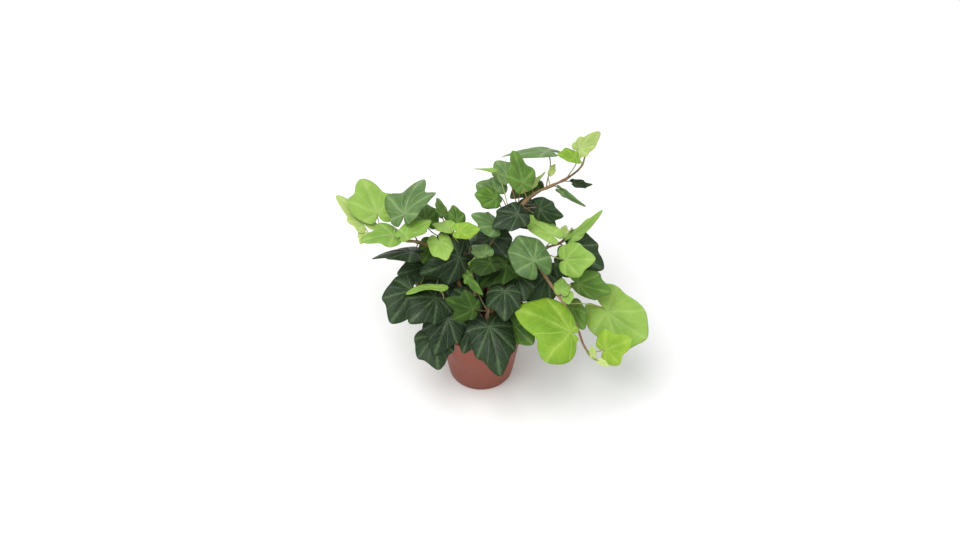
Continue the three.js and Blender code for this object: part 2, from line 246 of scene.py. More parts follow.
def make_pot_plastic():
    """Clouded terracotta plastic with a fine grain, and soil splashed on its foot."""
    plastic = Finish("terracotta_plastic")
    place = plastic.here()
    cloud = plastic.noise(place, 28, 5)
    speck = plastic.noise(place, 900, 2)
    height = plastic.node("SeparateXYZ", {0: place}).outputs[2]
    body = plastic.blend(cloud, colour(120, 58, 42), colour(148, 77, 58))
    grain = plastic.fade(speck, 0.55, 0.75, 0, 0.35)
    body = plastic.blend(grain, body, colour(108, 58, 46))
    splash = plastic.fade(plastic.noise(plastic.here((1, 1, 2)), 60, 6), 0.56, 0.72)
    low = plastic.fade(height, 0.03, 0.0, 0, 0.55)
    body = plastic.blend(plastic.math("MULTIPLY", splash, low), body, colour(112, 88, 74))
    plastic.feed(plastic.skin.inputs["Base Color"], body)
    plastic.feed(plastic.skin.inputs["Roughness"], plastic.fade(cloud, 0.3, 0.7, 0.4, 0.56))
    plastic.skin.inputs["Specular IOR Level"].default_value = 0.25
    plastic.relief(speck, 0.12, 0.2 * MM)
    return plastic.material


pot.data.materials.clear()
pot.data.materials.append(make_pot_plastic())
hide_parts("pot")
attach(pot, "root")


# ---------------------------------------------------------------- soil
# Damp potting soil of bark and peat fills the pot to a little below its rim. Its top is uneven, with
# loose crumbs and flakes of bark lying on it.
soil_low, soil_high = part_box("soil")
soil_rise = 3 * MM
soil_edge = soil_high.z - soil_rise
soil_clearance = 0.3 * MM
soil_dome = 2.0 * MM
soil_lump_height = 1.6 * MM
soil_rings = 26
soil_sides = 96
crumb_count = 260


def inside_radius(height):
    """Radius of the soil where it lies against the pot's wall."""
    return wall_radius(height) - wall - soil_clearance


def dome_rise(reach):
    """How far the soil stands above its edge, reach being 0 in the middle and 1 at the wall."""
    return soil_dome * (1 - reach ** 2)


def roughen_soil(piece):
    """Raises the top into a low dome with lumps, which die away towards the wall."""
    for corner in piece.data.vertices:
        if corner.co.z < soil_edge - 4 * MM:
            continue
        reach = math.hypot(corner.co.x, corner.co.y) / inside_radius(soil_edge)
        lump = noise.fractal(corner.co * 160, 0.9, 2.1, 5) * soil_lump_height
        corner.co.z += (dome_rise(reach) + lump) * min(1, 6 * (1.02 - reach))


top_profile = [
    (inside_radius(soil_edge) * (1 - ring / soil_rings), soil_edge)
    for ring in range(soil_rings)
]
soil = turn_profile("potting_soil", [
    (4 * MM, soil_low.z),
    (inside_radius(soil_low.z), soil_low.z),
    (inside_radius(soil_edge * 0.5), soil_edge * 0.5),
    *top_profile,
], soil_sides)
roughen_soil(soil)
take(soil)
bpy.ops.object.shade_smooth()


def make_crumbs():
    """Small broken lumps, scattered over the soil and sunk a little into it."""
    dice = random.Random("crumbs")
    lumps = bmesh.new()
    for crumb in range(crumb_count):
        angle = dice.uniform(0, 2 * math.pi)
        reach = math.sqrt(dice.uniform(0.02, 0.93)) * inside_radius(soil_edge)
        size = dice.uniform(0.5, 1.7) * MM
        height = soil_edge + dome_rise(reach / inside_radius(soil_edge))
        place = Matrix.Translation((reach * math.cos(angle), reach * math.sin(angle), height))
        tilt = dice.uniform(0, math.pi)
        turn = Matrix.Rotation(tilt, 4, Vector((dice.random(), dice.random(), 1)))
        length = size * dice.uniform(0.7, 1.9)
        shape = Matrix.Diagonal((length, size, size * dice.uniform(0.35, 0.8), 1))
        made = bmesh.ops.create_icosphere(
            lumps, subdivisions=2, radius=1, matrix=place @ turn @ shape)
        for corner in made["verts"]:
            corner.co += noise.noise_vector(corner.co * 1400) * size * 0.3
    mesh = bpy.data.meshes.new("soil_crumbs")
    lumps.to_mesh(mesh)
    lumps.free()
    piece = bpy.data.objects.new("soil_crumbs", mesh)
    bpy.context.scene.collection.objects.link(piece)
    return piece


def make_soil_finish(name, dark, light):
    """Matt broken peat, from a dark to a light colour, with a few pale flecks."""
    peat = Finish(name)
    place = peat.here()
    coarse = peat.noise(place, 320, 8, 0.7)
    fine = peat.noise(place, 1500, 4)
    fleck = peat.fade(peat.noise(place, 700, 2), 0.66, 0.74)
    body = peat.blend(peat.fade(coarse, 0.35, 0.7), dark, light)
    body = peat.blend(peat.math("MULTIPLY", fleck, 0.6), body, colour(126, 98, 70))
    peat.feed(peat.skin.inputs["Base Color"], body)
    peat.feed(peat.skin.inputs["Roughness"], peat.fade(fine, 0.3, 0.7, 0.8, 0.98))
    peat.relief(peat.math("ADD", coarse, peat.math("MULTIPLY", fine, 0.5)), 0.9, 0.8 * MM)
    return peat.material


crumbs = make_crumbs()
soil.data.materials.clear()
soil.data.materials.append(
    make_soil_finish("peat", colour(30, 22, 17), colour(66, 49, 37)))
crumbs.data.materials.append(
    make_soil_finish("bark_crumb", colour(46, 32, 23), colour(104, 76, 53)))
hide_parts("soil")
for piece in (soil, crumbs):
    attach(piece, "root")


# ---------------------------------------------------------------- vines
# Nine young vines stand in the soil and lean out over the rim. Their bark is tan and woody near the
# root, red-brown further on and green at the tip, and it swells where a leaf's stalk grows out.
vine_root_radius = 2.8 * MM
vine_tip_radius = 1.1 * MM
vine_sides = 16
root_depth = 22 * MM
path_step = 1.5 * MM
curve_steps = 24
lowest_leaf = 0.2
highest_leaf = 0.97
leaf_lean = 0.45
joint_swelling = 0.35
joint_length = 1.6
bark_waver = 0.1
# Leaves grow between two shares of a vine's length, lowest_leaf and highest_leaf. A stalk leaves its
# vine below the point nearest to the leaf, by leaf_lean of the leaf's distance from that point.
# joint_length is in steps of the vine's path.
# For each vine: where it stands in the soil, and the points that it runs through, with their height
# above the rim, in millimetres. Then its leaves, each with the place of its base, the length and
# width of its blade, its heading, pitch and roll in degrees, and its kind of blade. A small leaf that
# has no solid of its own in the frame also names the finish that it takes.
vine_places = {
    "left_vine": ((-16, 8), [
        (-26, 18, 36), (-46, 36, 64), (-68, 40, 76), (-98, 42, 80), (-122, 46, 83), (-138, 47, 85)]),
    "crown_vine": ((-3, 6), [(-8, 16, 26), (-14, 30, 54), (-26, 44, 74), (-40, 54, 86)]),
    "low_left_vine": ((-18, -12), [(-34, -14, 16), (-50, -8, 30), (-68, 4, 40), (-82, 16, 44)]),
    "front_vine": ((4, -14), [(6, -22, 16), (8, -25, 34), (12, -22, 52)]),
    "right_vine": ((20, -4), [
        (36, 12, 34), (50, 26, 55), (62, 22, 59), (75, 6, 50), (87, -11, 42),
        (98, -27, 33), (107, -45, 25), (113, -60, 16), (122, -70, 8), (130, -74, 5)]),
    "middle_right_vine": ((14, 12), [
        (30, 24, 30), (52, 36, 54), (74, 44, 64), (92, 50, 68), (104, 64, 76)]),
    "low_right_vine": ((24, 8), [(50, 12, 16), (78, 10, 28), (98, 10, 32), (112, 22, 34)]),
    "back_right_vine": ((8, 20), [
        (14, 40, 36), (28, 58, 70), (43, 77, 94), (60, 92, 103), (80, 102, 106),
        (102, 114, 110), (116, 126, 116), (121, 138, 126)]),
    "rear_vine": ((-4, 24), [(-10, 56, 18), (-16, 84, 22), (-20, 108, 10), (-22, 124, -6)]),
}
leaf_places = {
    "left_vine": [
        ("left_leaf_1", (-133, 59, 88), (50, 35), (129, 15, 14), "narrow"),
        ("left_leaf_2", (-118, 70, 94), (52, 59), (110, 23, 8), "wide"),
        ("left_leaf_3", (-84, 44, 116), (54, 64), (79, 19, -30), "three_lobed"),
        ("left_leaf_4", (-97, 30, 98), (36, 52), (-164, 10, 12), "wide"),
        ("left_leaf_5", (-46, 28, 89), (25, 27), (-72, -3, 4), "round"),
        ("left_leaf_6", (-78, 23, 78), (43, 52), (179, 5, 25), "broad"),
        ("left_leaf_7", (-56, 49, 64), (25, 27), (-109, -11, -34), "broad", "leaf_green"),
        ("left_leaf_9", (-83, 20, 108), (34, 28), (34, 6, -10), "young", "leaf_bright"),
        ("left_leaf_8", (-130, 45, 86), (14, 13), (-108, -7, -13), "young", "leaf_pale"),
    ],
    "crown_vine": [
        ("crown_leaf_1", (-62, 64, 86), (30, 32), (98, 14, 6), "broad"),
        ("crown_leaf_2", (-43, 66, 94), (26, 20), (100, 14, 40), "narrow"),
        ("crown_leaf_3", (-25, 26, 108), (24, 22), (4, 2, 20), "young"),
        ("crown_leaf_4", (16, 46, 96), (29, 42), (160, 34, 14), "broad"),
        ("crown_leaf_5", (10, 52, 72), (37, 41), (-51, -14, 26), "broad"),
        ("crown_leaf_6", (-25, 24, 70), (45, 46), (-144, -4, -55), "broad"),
        ("crown_leaf_7", (-27, 56, 92), (24, 22), (96, 23, 21), "young", "leaf_green"),
        ("crown_leaf_8", (-35, 41, 98), (24, 22), (146, -4, -1), "young", "leaf_bright"),
        ("crown_leaf_9", (5, 22, 76), (24, 22), (128, 5, -5), "young", "leaf_grey"),
        ("crown_leaf_10", (-9, 14, 68), (26, 15), (36, 8, 74), "narrow", "leaf_bright"),
        ("crown_leaf_11", (12, 66, 69), (27, 30), (-111, -18, -16), "broad", "leaf_dark"),
        ("crown_leaf_12", (-33, 66, 55), (30, 33), (-127, -9, -30), "broad", "leaf_dark"),
        ("crown_leaf_13", (-13, 58, 52), (30, 33), (-105, -18, -13), "broad", "leaf_dark"),
    ],
    "low_left_vine": [
        ("low_left_leaf_1", (-60, 37, 44), (37, 42), (-150, 2, -62), "broad"),
        ("low_left_leaf_2", (-77, -5, 46), (44, 50), (-120, -14, -24), "broad"),
        ("low_left_leaf_3", (-50, -17, 47), (42, 48), (-129, -2, -22), "broad"),
        ("low_left_leaf_4", (-37, -31, 29), (43, 49), (-113, -31, -12), "broad"),
        ("low_left_leaf_5", (-53, -39, 7), (38, 45), (-81, -18, 4), "broad"),
        ("low_left_leaf_6", (-47, -18, 63), (38, 26), (165, -8, 30), "young", "leaf_bright"),
        ("low_left_leaf_7", (-41, 26, 61), (25, 27), (-65, -15, 17), "broad", "leaf_dark"),
        ("low_left_leaf_9", (-45, 20, 35), (34, 38), (-104, -14, -10), "broad", "leaf_dark"),
        ("low_left_leaf_8", (-10, 39, 25), (32, 35), (-96, -17, -6), "broad", "leaf_dark"),
    ],
    "front_vine": [
        ("front_leaf_1", (-9, -41, 55), (31, 35), (179, 26, -52), "three_lobed"),
        ("front_leaf_2", (26, -20, 61), (36, 42), (-91, -4, 1), "broad"),
        ("front_leaf_3", (9, -43, 28), (54, 50), (-75, -14, -1), "broad"),
        ("front_leaf_4", (-15, -2, 66), (27, 16), (-63, -13, 60), "narrow"),
        ("front_leaf_5", (-15, -4, 29), (36, 40), (-125, -8, -26), "broad", "leaf_dark"),
        ("front_leaf_6", (18, 29, 47), (32, 35), (-133, -6, -31), "broad", "leaf_dark"),
        ("front_leaf_8", (-11, -39, 19), (28, 31), (-115, -35, -6), "broad", "leaf_dark"),
        ("front_leaf_7", (27, -7, 32), (26, 29), (-44, -1, 34), "broad", "leaf_dark"),
    ],
    "right_vine": [
        ("right_leaf_1", (58, 6, 81), (35, 43), (122, 26, -4), "round"),
        ("right_leaf_2", (28, 13, 67), (36, 46), (-146, 4, 5), "broad"),
        ("right_leaf_3", (97, -59, 38), (66, 70), (160, 17, -1), "leaning"),
        ("right_leaf_4", (143, -10, 16), (54, 66), (-50, 2, 55), "round"),
        ("right_leaf_5", (138, -56, 4), (34, 42), (-8, 40, 44), "wide"),
        ("right_leaf_6", (36, -31, 17), (32, 37), (-49, -7, 37), "broad"),
        ("right_leaf_7", (84, 24, 58), (22, 23), (-55, -2, 52), "broad", "leaf_dark"),
        ("right_leaf_8", (89, -9, 48), (19, 20), (84, 10, 10), "young", "leaf_bright"),
        ("right_leaf_9", (96, -10, 45), (13, 14), (-88, -8, 17), "young", "leaf_bright"),
        ("right_leaf_11", (129, -76, 9), (13, 8), (-40, 8, 20), "narrow", "leaf_pale"),
        ("right_leaf_12", (122, -72, 13), (12, 9), (96, 30, 20), "young", "leaf_pale"),
        ("right_leaf_13", (10, 2, 81), (24, 26), (-160, 6, 0), "round", "leaf_olive"),
        ("right_leaf_14", (41, 6, 56), (30, 34), (-76, -10, 8), "broad", "leaf_dark"),
        ("right_leaf_10", (54, 18, 30), (30, 33), (-43, 0, 36), "broad", "leaf_dark"),
    ],
    "middle_right_vine": [
        ("middle_right_leaf_1", (79, 44, 85), (44, 25), (142, 12, -14), "young"),
        ("middle_right_leaf_2", (104, 48, 78), (44, 15), (26, 30, 60), "narrow"),
        ("middle_right_leaf_3", (93, 8, 81), (37, 40), (-33, 31, 55), "young"),
        ("middle_right_leaf_4", (102, 54, 54), (45, 51), (-45, 0, 42), "broad"),
        ("middle_right_leaf_5", (93, 52, 78), (13, 11), (72, 12, 30), "young", "leaf_pale"),
    ],
    "low_right_vine": [
        ("low_right_leaf_1", (109, 3, 49), (38, 40), (-33, 7, 80), "broad"),
        ("low_right_leaf_2", (104, 2, 10), (30, 28), (-65, -14, 30), "young"),
        ("low_right_leaf_3", (75, 22, 45), (38, 44), (-128, -10, -15), "broad"),
    ],
    "back_right_vine": [
        ("back_right_leaf_1", (31, 113, 110), (28, 28), (122, 17, -12), "young"),
        ("back_right_leaf_2", (18, 103, 94), (31, 33), (145, 2, -32), "broad"),
        ("back_right_leaf_3", (16, 76, 110), (25, 29), (-171, 26, -22), "young"),
        ("back_right_leaf_4", (46, 77, 133), (37, 44), (110, 50, 28), "wide"),
        ("back_right_leaf_5", (74, 131, 133), (54, 56), (160, -8, 27), "broad"),
        ("back_right_leaf_6", (106, 110, 142), (22, 23), (-171, 23, -5), "young"),
        ("back_right_leaf_7", (112, 132, 136), (38, 25), (40, 6, 58), "narrow"),
        ("back_right_leaf_8", (92, 96, 104), (35, 10), (-46, -3, 70), "narrow"),
        ("back_right_leaf_9", (66, 87, 73), (45, 42), (-169, 20, -12), "broad"),
        ("back_right_leaf_10", (51, 92, 114), (34, 20), (40, -2, 100), "narrow", "leaf_pale"),
        ("back_right_leaf_11", (59, 114, 101), (33, 31), (-139, -1, -8), "broad", "leaf_olive"),
        ("back_right_leaf_12", (107, 98, 113), (20, 17), (-30, 10, 105), "broad", "leaf_dark"),
        ("back_right_leaf_13", (66, 62, 107), (28, 30), (-39, 8, 70), "broad", "leaf_dark"),
        ("back_right_leaf_14", (79, 112, 117), (14, 9), (59, 15, 52), "young", "leaf_pale"),
        ("back_right_leaf_15", (58, 105, 71), (30, 31), (-136, -9, -13), "broad", "leaf_dark"),
        ("back_right_leaf_17", (14, 110, 122), (22, 9), (178, 8, 8), "narrow", "leaf_bright"),
        ("back_right_leaf_18", (41, 53, 108), (32, 35), (-152, -6, -14), "broad", "leaf_dark"),
        ("back_right_leaf_16", (64, 111, 64), (32, 33), (-53, -9, 53), "broad", "leaf_dark"),
    ],
    "rear_vine": [
        ("rear_leaf_1", (-42, 76, 36), (44, 50), (142, -12, 0), "broad"),
        ("rear_leaf_2", (14, 84, 34), (46, 52), (62, -18, 0), "broad"),
        ("rear_leaf_3", (-40, 100, 18), (42, 48), (118, -34, 0), "broad"),
        ("rear_leaf_4", (-8, 125, 7), (40, 45), (84, -44, 0), "young"),
        ("rear_leaf_5", (-40, 44, 26), (42, 48), (168, -22, 0), "broad"),
        ("rear_leaf_6", (24, 54, 24), (42, 48), (28, -20, 0), "broad"),
        ("rear_leaf_7", (-48, 26, 14), (34, 38), (172, -30, 6), "broad", "leaf_dark"),
        ("rear_leaf_8", (-30, 59, 9), (36, 40), (128, -38, -5), "broad", "leaf_dark"),
        ("rear_leaf_9", (2, 66, 12), (34, 38), (88, -36, 4), "broad", "leaf_green"),
        ("rear_leaf_10", (34, 44, 10), (34, 38), (40, -34, -6), "broad", "leaf_dark"),
        ("rear_leaf_11", (-34, 82, 26), (30, 33), (150, -8, 10), "young", "leaf_green"),
        ("rear_leaf_12", (-6, 87, 27), (30, 33), (52, -6, -10), "broad", "leaf_dark"),
    ],
}


def above_rim(place):
    """A place in millimetres, with its height above the rim, as a place in the scene."""
    x, y, z = place
    return Vector((x * MM, y * MM, pot_height + z * MM))


def smooth_path(points, step):
    """Points about a step apart along the smooth curve that passes through the given ones."""
    ends = [points[0] * 2 - points[1], *points, points[-1] * 2 - points[-2]]
    fine = []
    for before, here, ahead, beyond in zip(ends, ends[1:], ends[2:], ends[3:]):
        first = math.sqrt((here - before).length)
        middle = math.sqrt((ahead - here).length)
        last = math.sqrt((beyond - ahead).length)
        run = (ahead - here) / middle
        leave = (here - before) / first - (ahead - before) / (first + middle) + run
        arrive = run - (beyond - here) / (middle + last) + (beyond - ahead) / last
        leave *= middle
        arrive *= middle
        for part in range(curve_steps):
            t = part / curve_steps
            fine.append(
                here * (2 * t ** 3 - 3 * t ** 2 + 1) + leave * (t ** 3 - 2 * t ** 2 + t)
                + ahead * (3 * t ** 2 - 2 * t ** 3) + arrive * (t ** 3 - t ** 2))
    fine.append(points[-1])
    return even_path(fine, step)


def even_path(fine, step):
    """The same path with its points an even distance apart."""
    lengths = [0.0]
    for here, ahead in zip(fine, fine[1:]):
        lengths.append(lengths[-1] + (ahead - here).length)
    count = max(4, round(lengths[-1] / step))
    even = []
    seat = 0
    for number in range(count + 1):
        wanted = lengths[-1] * number / count
        while seat < len(fine) - 2 and lengths[seat + 1] < wanted:
            seat += 1
        span = max(lengths[seat + 1] - lengths[seat], 1e-9)
        even.append(fine[seat].lerp(fine[seat + 1], (wanted - lengths[seat]) / span))
    return even


def grow_tube(name, path, radii, sides):
    """A closed round stem along a path, with a radius for each of its points."""
    put_down_tools()
    line = bpy.data.curves.new(name, "CURVE")
    line.dimensions = "3D"
    line.bevel_depth = 1
    line.bevel_resolution = sides // 4
    line.use_fill_caps = True
    run = line.splines.new("POLY")
    run.points.add(len(path) - 1)
    for seat, place, radius in zip(run.points, path, radii):
        seat.co = (*place, 1)
        seat.radius = radius
    stem = bpy.data.objects.new(name, line)
    bpy.context.scene.collection.objects.link(stem)
    take(stem)
    bpy.ops.object.convert(target="MESH")
    stem = bpy.context.object
    bpy.ops.object.mode_set(mode="EDIT")
    bpy.ops.mesh.select_all(action="SELECT")
    bpy.ops.mesh.remove_doubles(threshold=1e-6)
    bpy.ops.mesh.normals_make_consistent(inside=False)
    bpy.ops.object.mode_set(mode="OBJECT")
    bpy.ops.object.shade_smooth()
    return stem


def mark_along(stem, path):
    """Keeps, at each corner of a stem, how far along its path it is, from 0 to 1."""
    tree = KDTree(len(path))
    for number, place in enumerate(path):
        tree.insert(place, number)
    tree.balance()
    along = stem.data.attributes.new("along", "FLOAT", "POINT")
    for corner in stem.data.vertices:
        along.data[corner.index].value = tree.find(corner.co)[1] / (len(path) - 1)


def vine_path(name):
    """A vine's middle line, upright in the soil and then through its points."""
    root, points = vine_places[name]
    soil_top = soil_edge + soil_rise
    x, y = root[0] * MM, root[1] * MM
    route = [Vector((x, y, soil_top - root_depth))]
    route.append(Vector((x, y, soil_top - root_depth / 2)))
    route.append(Vector((x, y, soil_top + 2 * MM)))
    route += [above_rim(place) for place in points]
    return smooth_path(route, path_step)


def vine_radius(share):
    """Radius at a share of the vine's length, from 0 at the root to 1 at the tip."""
    return vine_root_radius + (vine_tip_radius - vine_root_radius) * share


def joint_on_vine(path, base):
    """The number of the path's point that a leaf grows from, a little rootwards of the nearest one."""
    first = round(lowest_leaf * (len(path) - 1))
    last = round(highest_leaf * (len(path) - 1))
    nearest = min(range(first, last + 1), key=lambda number: (path[number] - base).length)
    rootwards = round(leaf_lean * (path[nearest] - base).length / path_step)
    return max(first, nearest - rootwards)


vine_paths = {name: vine_path(name) for name in vine_places}


def make_bark():
    """Tan bark that turns red-brown and then green along the vine, with pale specks."""
    bark = Finish("young_bark")
    along = bark.node("Attribute", attribute_name="along").outputs["Fac"]
    place = bark.here()
    cloud = bark.noise(place, 260, 5)
    ring = bark.noise(bark.here((1, 1, 5)), 420, 4)
    woody = bark.blend(cloud, colour(122, 94, 62), colour(184, 152, 108))
    red = bark.blend(cloud, colour(98, 62, 46), colour(150, 108, 84))
    green = bark.blend(cloud, colour(132, 140, 78), colour(160, 166, 96))
    body = bark.blend(bark.fade(along, 0.6, 0.95), woody, red)
    body = bark.blend(bark.fade(along, 0.88, 1.0), body, green)
    spots = bark.fade(ring, 0.58, 0.7, 0, 0.55)
    body = bark.blend(spots, body, colour(190, 166, 130))
    bark.feed(bark.skin.inputs["Base Color"], body)
    bark.skin.inputs["Roughness"].default_value = 0.72
    bark.relief(bark.math("ADD", ring, cloud), 0.5, 0.4 * MM)
    return bark.material


young_bark = make_bark()
for name, path in vine_paths.items():
    joints = [joint_on_vine(path, above_rim(leaf[1])) for leaf in leaf_places[name]]
    radii = []
    for number, place in enumerate(path):
        swell = sum(math.exp(-((number - joint) / joint_length) ** 2) for joint in joints)
        wave = noise.noise(place * 220) * bark_waver
        thickening = 0.95 + wave + joint_swelling * min(swell, 1)
        radii.append(vine_radius(number / (len(path) - 1)) * thickening)
    vine = grow_tube(name + "_stem", path, radii, vine_sides)
    mark_along(vine, path)
    vine.data.materials.append(young_bark)
    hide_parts(name)
    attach(vine, "root")


# ---------------------------------------------------------------- leaves
# Each leaf is a thin waxy blade with three or five main lobes and palmate veins, on a thin round
# stalk that grows from its vine. Old leaves are dark with pale veins, and young ones yellow-green.
blade_thickness = 0.4 * MM
stalk_radius = 0.75 * MM
stalk_sides = 8
stalk_step = 1.8 * MM
sheet_sides = 120
sheet_rings = 16
# The higher lobe_merge is, the deeper the notches between lobes. The slit is the deep notch at the
# leaf's base, where the stalk joins, and its width is in degrees, as is how far a lobe's point spreads.
lobe_merge = 5
slit_width = 12
slit_depth = 0.82
point_spread = 8
pucker_width = 0.09
vein_directions = (0, 50, 108, 142)
# Each lobe of a kind is its direction from the tip in degrees, its length as a share of the blade's,
# and how slender it is. Every lobe but the tip is there on both sides. lean turns all the side lobes
# one way, in degrees. point draws out the tip and the first pair of lobes, droop bends the tip down,
# and fold lifts the two sides, all as shares of the length.
leaf_kinds = {
    "broad": {
        "lobes": [(0, 1.0, 2.8), (48, 0.80, 2.4), (90, 0.66, 2.2), (128, 0.46, 2.2)],
        "lean": 0, "point": 0.05, "droop": 0.14, "fold": -0.06},
    "young": {
        "lobes": [(0, 1.0, 2.2), (50, 0.82, 2.2), (92, 0.62, 2.2), (126, 0.36, 2.0)],
        "lean": 0, "point": 0.03, "droop": 0.10, "fold": 0.07},
    "wide": {
        "lobes": [(0, 1.0, 2.0), (68, 0.80, 2.0), (112, 0.46, 2.0)],
        "lean": 0, "point": 0.03, "droop": 0.10, "fold": 0.05},
    "leaning": {
        "lobes": [(0, 1.0, 1.5), (61, 0.86, 2.4), (120, 0.22, 1.6)],
        "lean": -16, "point": 0.04, "droop": 0.08, "fold": -0.12},
    "round": {
        "lobes": [(0, 1.0, 2.0), (48, 0.95, 2.0), (96, 0.84, 2.0), (138, 0.66, 2.2)],
        "lean": 0, "point": 0.01, "droop": 0.12, "fold": -0.04},
    "narrow": {
        "lobes": [(0, 1.0, 9.0), (22, 0.60, 6.0), (62, 0.42, 2.4), (124, 0.36, 2.0)],
        "lean": 0, "point": 0.08, "droop": 0.08, "fold": 0.16},
    "three_lobed": {
        "lobes": [(0, 1.0, 3.6), (54, 0.84, 3.4), (100, 0.46, 2.0), (140, 0.32, 2.4)],
        "lean": 0, "point": 0.06, "droop": 0.08, "fold": 0.06},
}


def off_vein(pattern):
    """How far a direction in the pattern of veins is from the nearest main vein, in radians."""
    return math.radians(min(abs(abs(pattern) - vein) for vein in vein_directions[:3]))


def make_sheet():
    """A flat disc of rings, one unit in radius, that each blade is shaped from."""
    put_down_tools()
    bpy.ops.mesh.primitive_circle_add(vertices=sheet_sides, radius=1, fill_type="NOTHING")
    disc = bpy.context.object
    disc.name = "blade_sheet"
    bpy.ops.object.mode_set(mode="EDIT")
    bpy.ops.mesh.select_mode(type="EDGE")
    bpy.ops.mesh.select_all(action="SELECT")
    for ring in range(sheet_rings - 1, 0, -1):
        bpy.ops.mesh.extrude_edges_move(TRANSFORM_OT_translate={"value": (0, 0, 0)})
        shrink = ring / (ring + 1)
        bpy.ops.transform.resize(value=(shrink, shrink, 1), center_override=(0, 0, 0))
    bpy.ops.mesh.extrude_edges_move(TRANSFORM_OT_translate={"value": (0, 0, 0)})
    bpy.ops.mesh.merge(type="CENTER")
    bpy.ops.mesh.select_all(action="SELECT")
    bpy.ops.mesh.normals_make_consistent(inside=False)
    bpy.ops.object.mode_set(mode="OBJECT")
    if disc.data.polygons[0].normal.z < 0:
        disc.data.flip_normals()
    return disc


def lobe_list(kind, dice):
    """Every lobe of one leaf, with its two sides a little unlike each other.

    A lobe is its direction, its length, how slender and how pointed it is, and its vein's direction.
    """
    lobes = []
    for number, (direction, length, slender) in enumerate(kind["lobes"]):
        point = kind["point"] if number < 2 else 0
        length /= 1 + kind["point"]
        if direction == 0:
            lobes.append((0, length, slender, point, 0))
            continue
        for side in (-1, 1):
            turn = direction * side + kind["lean"] + dice.uniform(-4, 4)
            reach = length * dice.uniform(0.93, 1.07)
            lobes.append((turn, reach, slender, point, vein_directions[number] * side))
    return lobes


def outline_reach(lobes, angle):
    """How far a leaf reaches from its base in one direction, as a share of its length."""
    total = 0.0
    for turn, length, slender, point, vein in lobes:
        off = abs((angle - turn + 180) % 360 - 180)
        if off < 90:
            end = length * (1 + point * math.exp(-(off / point_spread) ** 2))
            total += (end * math.cos(math.radians(off)) ** slender) ** lobe_merge
    slit = math.exp(-((180 - abs(angle)) / slit_width) ** 2)
    return total ** (1 / lobe_merge) * (1 - slit_depth * slit)


def vein_angle(lobes, angle):
    """Where a direction lies in the pattern of veins, whose main veins run out to the lobes."""
    lobe_marks = [(turn, vein) for turn, length, slender, point, vein in lobes]
    marks = sorted([(-180, -180), *lobe_marks, (180, 180)])
    for (before, low), (after, high) in zip(marks, marks[1:]):
        if before <= angle <= after:
            return low + (high - low) * (angle - before) / (after - before)


def shape_blade(sheet, name, size, kind, look, dice):
    """A copy of the sheet shaped to a leaf, with its base at the origin and its tip along Y.

    lift raises each point out of the flat: by the fold and droop, one broad bend, an arch between
    base and edge, a waved edge, a twist, and puckers between the veins.
    """
    length, width = size[0] * MM, size[1] * MM
    blade = bpy.data.objects.new(name, sheet.data.copy())
    bpy.context.scene.collection.objects.link(blade)
    lobes = lobe_list(kind, dice)
    widest = max(
        outline_reach(lobes, angle) * math.sin(math.radians(angle)) for angle in range(30, 130, 5))
    arch = dice.uniform(*look["arch"])
    wave = dice.uniform(*look["wave"])
    waves, start = dice.choice([4, 5, 6]), dice.uniform(0, 2 * math.pi)
    twist = dice.uniform(-0.1, 0.1)
    droop = kind["droop"] * dice.uniform(0.8, 1.4)
    bend, bend_turn = dice.uniform(*look["bend"]), dice.uniform(0, math.pi)
    layer = {}
    for corner in blade.data.vertices:
        share = min(corner.co.length, 1.0)
        turn = math.atan2(corner.co.x, corner.co.y)
        edge = outline_reach(lobes, math.degrees(turn))
        x = share * edge * math.sin(turn)
        y = share * edge * math.cos(turn)
        pattern = vein_angle(lobes, math.degrees(turn))
        layer[corner.index] = (
            0.5 + 0.5 * share * edge * math.sin(math.radians(pattern)),
            0.5 + 0.5 * share * edge * math.cos(math.radians(pattern)))
        from_vein = share * edge * math.sin(off_vein(pattern))
        lift = kind["fold"] * (math.sqrt(x * x + 0.01) - 0.1) - droop * y * y
        lift += bend * (x * math.cos(bend_turn) + y * math.sin(bend_turn)) ** 2
        lift += arch * (share - share ** 2) * edge
        lift += wave * share ** 2.5 * math.sin(waves * turn + start) * min(1, edge * 1.4)
        lift += twist * x * y
        lift += look["pucker"] * (1 - math.exp(-(from_vein / pucker_width) ** 2)) * (1 - share ** 4)
        corner.co = (x * width / 2 / widest, y * length, lift * length)
    uv = blade.data.uv_layers.new(name="leaf")
    for loop in blade.data.loops:
        uv.data[loop.index].uv = layer[loop.vertex_index]
    return blade


def leaf_turn(heading, pitch, roll):
    """Turns a blade so that its tip points along its heading, lifted by pitch and tipped by roll."""
    return (
        Matrix.Rotation(math.radians(heading - 90), 3, "Z")
        @ Matrix.Rotation(math.radians(pitch), 3, "X")
        @ Matrix.Rotation(math.radians(roll), 3, "Y"))


def stalk_path(base, turn, path):
    """One easy bend from behind the blade's base to the side of the vine."""
    along, out = turn.col[1], turn.col[2]
    number = joint_on_vine(path, base)
    joint = path[number]
    run = (path[min(number + 1, len(path) - 1)] - path[number - 1]).normalized()
    reach = (base - joint).length
    away = base - joint
    away = (away - run * away.dot(run)).normalized()
    leave = base - (along * 0.3 + out * 0.22) * reach
    arrive = joint + (away * 0.3 + run * 0.12) * reach
    fine = []
    for part in range(curve_steps + 1):
        t = part / curve_steps
        fine.append(
            (base - out * blade_thickness / 2) * (1 - t) ** 3 + leave * 3 * t * (1 - t) ** 2
            + arrive * 3 * t ** 2 * (1 - t) + joint * t ** 3)
    return even_path(fine, stalk_step)


